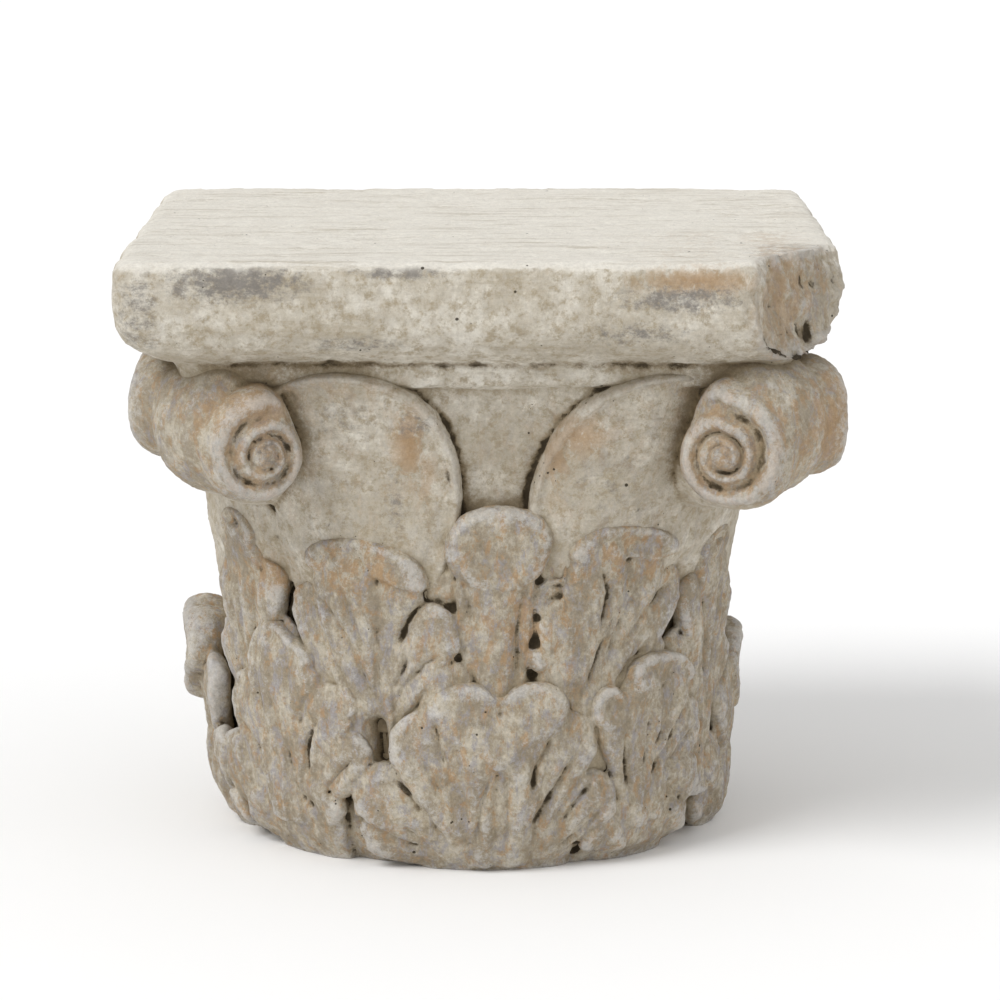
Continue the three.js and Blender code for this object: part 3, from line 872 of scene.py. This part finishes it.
# The hollowness measures below drive the material's grime and painted shade in the hollows.
grid, grid_low = occupancy(pieces)
near, wide = blurred(grid, 5.0), blurred(grid, 14.0)
for piece in pieces:
    at = corners_of(piece.data) / MM
    mean, _ = neighbours(piece.data)
    attribute(piece.data, "crevice", mean(hollowness(piece.data, 4)))
    attribute(piece.data, "valley", mean(hollowness(piece.data, 16)))
    attribute(piece.data, "near", sample(near, grid_low, at))
    attribute(piece.data, "wide", sample(wide, grid_low, at))


# ---- Material ----------------------------------------------------------------------


class Recipe:
    """Short names for the nodes of one material."""

    def __init__(self, name):
        self.material = bpy.data.materials.new(name)
        self.material.use_nodes = True
        self.tree = self.material.node_tree
        self.shader = self.tree.nodes["Principled BSDF"]
        self.place = self.tree.nodes.new("ShaderNodeTexCoord").outputs["Object"]

    def feed(self, socket, value):
        if isinstance(value, bpy.types.NodeSocket):
            self.tree.links.new(value, socket)
        else:
            socket.default_value = (*value, 1) if socket.type == "RGBA" else value

    def attribute(self, name):
        node = self.tree.nodes.new("ShaderNodeAttribute")
        node.attribute_name = name
        return node.outputs["Fac"]

    def stretched(self, stretch, shift=(0, 0, 0)):
        node = self.tree.nodes.new("ShaderNodeMapping")
        self.feed(node.inputs["Vector"], self.place)
        node.inputs["Scale"].default_value = stretch
        node.inputs["Location"].default_value = shift
        return node.outputs["Vector"]

    def noise(self, size, detail=4, rough=0.6, stretch=(1, 1, 1), shift=0.0, twist=0.0):
        """Cloudy noise from 0 to 1, its features this many mm across."""
        node = self.tree.nodes.new("ShaderNodeTexNoise")
        self.feed(node.inputs["Vector"], self.stretched(stretch, (shift, shift * 0.7, -shift)))
        node.inputs["Scale"].default_value = 1 / (size * MM)
        node.inputs["Detail"].default_value = detail
        node.inputs["Roughness"].default_value = rough
        node.inputs["Distortion"].default_value = twist
        return node.outputs["Fac"]

    def cells(self, size, shift=0.0):
        """The distance to the nearest of scattered points, in cells this many mm across."""
        node = self.tree.nodes.new("ShaderNodeTexVoronoi")
        self.feed(node.inputs["Vector"], self.stretched((1, 1, 1), (shift, shift, shift)))
        node.inputs["Scale"].default_value = 1 / (size * MM)
        return node.outputs["Distance"]

    def ramp(self, value, low, high):
        node = self.tree.nodes.new("ShaderNodeMapRange")
        node.interpolation_type = "SMOOTHSTEP"
        self.feed(node.inputs["Value"], value)
        node.inputs["From Min"].default_value = low
        node.inputs["From Max"].default_value = high
        return node.outputs["Result"]

    def math(self, operation, first, second=0.0):
        node = self.tree.nodes.new("ShaderNodeMath")
        node.operation = operation
        self.feed(node.inputs[0], first)
        self.feed(node.inputs[1], second)
        return node.outputs["Value"]

    def product(self, *values):
        value = values[0]
        for other in values[1:]:
            value = self.math("MULTIPLY", value, other)
        return value

    def mix(self, share, first, second, blend="MIX"):
        node = self.tree.nodes.new("ShaderNodeMix")
        node.data_type = "RGBA"
        node.blend_type = blend
        self.feed(node.inputs["Factor"], share)
        self.feed(node.inputs[6], first)
        self.feed(node.inputs[7], second)
        return node.outputs[2]

    def bump(self, height, distance, normal=None):
        node = self.tree.nodes.new("ShaderNodeBump")
        self.feed(node.inputs["Height"], height)
        node.inputs["Distance"].default_value = distance * MM
        if normal is not None:
            self.feed(node.inputs["Normal"], normal)
        return node.outputs["Normal"]


CREAM = (0.76, 0.72, 0.635)
STONE = (0.52, 0.47, 0.38)
BUFF = (0.37, 0.305, 0.205)
BROWN = (0.18, 0.13, 0.07)
# The near black below paints the shade in crevices and air holes, with some grime.
DIRT_AND_SHADE_BLACK = (0.03, 0.021, 0.010)
UMBER = (0.25, 0.20, 0.135)
GREY = (0.33, 0.31, 0.31)
RUST = (0.40, 0.245, 0.115)
CHALK = (0.60, 0.585, 0.56)
BED = (0.86, 0.83, 0.76)
SMUDGE = (0.20, 0.185, 0.17)


def stone_material():
    """Cast stone under a worn limewash, with grime and painted shade in its hollows, painted shade in its
    air holes and painted light on its top bed.
    """
    r = Recipe("cast_stone")
    crevice, valley, near, wide = (r.attribute(n) for n in ("crevice", "valley", "near", "wide"))
    carved, rusty, sooty, bed = (r.attribute(n) for n in ("carved", "rusty", "sooty", "bed"))

    clouds = r.noise(60, 6, 0.65)
    patches = r.noise(12, 8, 0.72, shift=3.1)
    fine = r.noise(3.0, 6, 0.8, shift=7.7)
    grit = r.noise(0.8, 2, 0.6, shift=1.3)
    layers = r.noise(7, 7, 0.7, stretch=(0.12, 1, 1), shift=5.5)
    grain = r.noise(7, 8, 0.82, stretch=(1, 1, 0.45), shift=61.0, twist=0.4)

    tone = r.math("ADD", r.math("MULTIPLY", clouds, 0.5), r.math("MULTIPLY", patches, 0.5))
    # Faces of the top bed that point up are painted lighter: painted light from above, and a cleaner face
    # with fewer stains.
    tone = r.math("ADD", tone, r.math("MULTIPLY", bed, 0.30))
    tone = r.math("SUBTRACT", tone, r.math("MULTIPLY", carved, 0.17))
    colour = r.mix(r.ramp(tone, 0.40, 0.62), STONE, CREAM)
    blotch = r.math("SUBTRACT", r.noise(6, 8, 0.78, shift=13.0), r.math("MULTIPLY", bed, 0.16))
    colour = r.mix(r.product(r.ramp(blotch, 0.46, 0.64), 0.85), colour, BUFF)
    colour = r.mix(r.product(bed, 0.55), colour, BED)
    lines = r.product(r.ramp(layers, 0.50, 0.68), r.math("SUBTRACT", 1.0, carved), 0.5)
    colour = r.mix(lines, colour, BUFF)

    umber = r.noise(14, 7, 0.75, stretch=(1, 1, 0.6), shift=71.0)
    umber = r.math("ADD", umber, r.math("MULTIPLY", near, -0.25))
    colour = r.mix(r.product(r.ramp(umber, 0.28, 0.46), carved, 0.75), colour, UMBER)
    greyed = r.product(r.ramp(grain, 0.50, 0.60), carved, 0.85)
    colour = r.mix(greyed, colour, GREY)
    warm = r.math("ADD", r.noise(6, 8, 0.8, stretch=(1, 1, 0.5), shift=19.0, twist=0.5),
                  r.math("MULTIPLY", rusty, 0.20))
    warm_places = r.math("MAXIMUM", r.math("MULTIPLY", carved, 0.85), rusty)
    warm = r.product(r.ramp(warm, 0.51, 0.62), warm_places, 0.8)
    colour = r.mix(warm, colour, RUST)
    soot = r.noise(4, 8, 0.8, stretch=(0.7, 1, 1), shift=41.0)
    soot = r.math("ADD", soot, r.math("MULTIPLY", sooty, 0.30))
    off_the_bed = r.math("SUBTRACT", 1.0, bed)
    soot = r.product(r.ramp(soot, 0.56, 0.80), r.ramp(sooty, 0.0, 0.5), off_the_bed, 0.85)
    colour = r.mix(soot, colour, SMUDGE)
    high = r.math("ADD", near, r.math("MULTIPLY", r.noise(4, 8, 0.85, shift=23.0), -0.75))
    chalky = r.product(r.ramp(high, 0.08, -0.06), carved, 0.6)
    colour = r.mix(chalky, colour, CHALK)

    # Hollows darken to buff, brown and near black. This is grime, and also painted shade where shade
    # falls in recesses and creases.
    stir = r.math("SUBTRACT", fine, 0.5)
    dirt_and_shade = r.math("ADD", r.ramp(near, 0.50, 0.74), r.math("MULTIPLY", stir, 1.1))
    colour = r.mix(r.product(r.ramp(dirt_and_shade, 0.05, 0.95), 0.85), colour, BUFF)
    # Wider hollows and valleys are painted brown: grime, and painted shade of the recesses.
    sunk = r.math("ADD", r.ramp(wide, 0.52, 0.78), r.math("MULTIPLY", stir, 1.6))
    colour = r.mix(r.product(r.ramp(sunk, 0.2, 1.0), 0.7), colour, BROWN)
    deep = r.math("ADD", r.ramp(valley, 0.25, 2.2), r.math("MULTIPLY", stir, 1.0))
    colour = r.mix(r.product(r.ramp(deep, 0.1, 0.9), 0.85), colour, BROWN)
    # Fine crevices and cracks are painted near black: painted shade in the creases, with some grime.
    black = r.math("ADD", r.ramp(crevice, 0.15, 0.9), r.math("MULTIPLY", stir, 1.2))
    colour = r.mix(r.product(r.ramp(black, 0.35, 1.0), 0.9), colour, DIRT_AND_SHADE_BLACK)

    spread = r.math("ADD", 0.25, r.math("MULTIPLY", carved, 0.25))
    speckle = r.math("MULTIPLY", r.math("SUBTRACT", r.noise(2.2, 6, 0.85, shift=51.0), 0.5), spread)
    speckle = r.math("ADD", 0.99, r.math("MULTIPLY", speckle, 2.6))
    colour = r.mix(1.0, colour, speckle, "MULTIPLY")

    # Air holes and pits, too small for the mesh, are painted near black: painted shade inside the holes.
    pores = r.cells(12, 5.0)
    pore_size = r.math("MULTIPLY", r.ramp(r.noise(30, 2, 0.5, shift=31.0), 0.42, 0.75), 0.085)
    hole = r.math("SUBTRACT", 1.0, r.math("LESS_THAN", pore_size, pores))
    pits = r.cells(5, 9.0)
    pit_size = r.math("MULTIPLY", r.ramp(r.noise(17, 2, 0.5, shift=37.0), 0.45, 0.8), 0.13)
    pit = r.math("SUBTRACT", 1.0, r.math("LESS_THAN", pit_size, pits))
    holes = r.math("MAXIMUM", hole, pit)
    colour = r.mix(r.product(holes, 0.9), colour, DIRT_AND_SHADE_BLACK)
    r.feed(r.shader.inputs["Base Color"], colour)

    rough = r.math("ADD", 0.8, r.math("MULTIPLY", patches, 0.22))
    r.feed(r.shader.inputs["Roughness"], rough)
    r.shader.inputs["Specular IOR Level"].default_value = 0.3
    height = r.math("ADD", fine, r.math("MULTIPLY", grit, 0.35))
    height = r.math("SUBTRACT", height, r.math("MULTIPLY", holes, 1.6))
    r.feed(r.shader.inputs["Normal"], r.bump(height, 0.9))
    return r.material


# Stains on the front: place across and up, reach across and up, and strength, in millimetres.
RUSTY_SPOTS = (
    (-62, 152, 34, 12, 0.35), (70, 158, 30, 12, 0.35), (-104, 150, 16, 14, 0.5),
    (-36, 222, 9, 22, 1.0), (-28, 205, 7, 20, 0.6), (48, 226, 16, 12, 0.9), (36, 214, 8, 20, 0.8),
    (-110, 244, 22, 14, 0.9), (-104, 222, 24, 26, 0.6), (120, 220, 28, 28, 0.6), (172, 232, 14, 24, 0.8),
    (104, 306, 30, 7, 1.0), (146, 296, 16, 24, 0.7), (-60, 250, 30, 8, 0.4), (20, 130, 20, 20, 0.4),
)
SOOTY_SPOTS = (
    (-118, 306, 36, 11, 1.0), (-38, 311, 24, 4, 1.0), (96, 298, 34, 8, 0.8), (-60, 275, 26, 5, 0.6),
    (76, 280, 30, 7, 0.6), (-165, 290, 12, 26, 0.6), (-34, 232, 14, 10, 0.5), (-42, 190, 6, 24, 0.5),
    (-100, 222, 18, 24, 0.5), (122, 222, 24, 26, 0.5), (-70, 235, 24, 16, 0.4), (60, 200, 26, 24, 0.35),
)


def spots(points, places):
    value = np.zeros(len(points))
    front = smooth((-points[:, 1] - 20) / 40)
    for x, z, across, up, strength in places:
        reach = ((points[:, 0] - x) / across) ** 2 + ((points[:, 2] - z) / up) ** 2
        value = np.maximum(value, strength * np.exp(-reach))
    return value * front


def wide_reach(mesh):
    """How far each point stands from the middle, which sets the volutes apart."""
    points = corners_of(mesh) / MM
    return np.hypot(points[:, 0], points[:, 1]) * smooth((points[:, 2] - 180) / 20)


stone = stone_material()
for piece in pieces:
    points = corners_of(piece.data) / MM
    carved = np.ones(len(points))
    if "abacus" in piece.name:
        carved = 0.1 + 0.6 * smooth((points[:, 0] - 125) / 20) * smooth((-points[:, 1] - 90) / 30)
    if "bell" in piece.name:
        carved = 0.25 + 0.6 * smooth((wide_reach(piece.data) - 165) / 25)
    attribute(piece.data, "carved", carved)
    attribute(piece.data, "rusty", spots(points, RUSTY_SPOTS))
    attribute(piece.data, "sooty", spots(points, SOOTY_SPOTS))
    # bed marks the faces of the top that point up. The material paints them lighter: painted light from
    # above, and a cleaner face.
    upward = read(piece.data, "normal", 3)[:, 2]
    attribute(piece.data, "bed", smooth((upward - 0.45) / 0.4) * (points[:, 2] > HEIGHT - 12))
    piece.data.materials.clear()
    piece.data.materials.append(stone)
    piece.data.shade_smooth()
    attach(piece, "root")
    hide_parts("capital")


# ---- Floor, light and camera -------------------------------------------------------


def studio():
    bpy.ops.mesh.primitive_plane_add(size=60, location=(0, 0, 0))
    floor = bpy.context.object
    floor.name = "floor"
    paper = bpy.data.materials.new("paper")
    paper.use_nodes = True
    shader = paper.node_tree.nodes["Principled BSDF"]
    shader.inputs["Base Color"].default_value = (0.95, 0.95, 0.95, 1)
    shader.inputs["Roughness"].default_value = 1.0
    shader.inputs["Specular IOR Level"].default_value = 0.0
    floor.data.materials.append(paper)
    world = bpy.data.worlds.new("studio")
    bpy.context.scene.world = world
    world.use_nodes = True
    world.node_tree.nodes["Background"].inputs["Color"].default_value = (1, 1, 1, 1)
    world.node_tree.nodes["Background"].inputs["Strength"].default_value = 0.70
    for name, direction, softness, power in (
        ("key", (-0.6, -0.5, 0.8), 30, 1.65),
        ("fill", (0.7, -0.6, 0.5), 60, 0.20),
    ):
        light = bpy.data.lights.new(name, "SUN")
        light.angle, light.energy = math.radians(softness), power
        lamp = bpy.data.objects.new(name, light)
        lamp.rotation_euler = (-Vector(direction)).to_track_quat("-Z", "Y").to_euler()
        bpy.context.scene.collection.objects.link(lamp)
    bpy.context.scene.view_settings.view_transform = "Standard"


def camera():
    data = bpy.data.cameras.new("camera")
    data.sensor_width, data.lens = 36, 148.3
    data.shift_x = 0.018
    data.clip_start, data.clip_end = 0.05, 50
    eye = bpy.data.objects.new("camera", data)
    eye.location = (0, -2.135, 0.551)
    eye.rotation_euler = (math.radians(90 - 10.17), 0, 0)
    bpy.context.scene.collection.objects.link(eye)
    bpy.context.scene.camera = eye


studio()
camera()
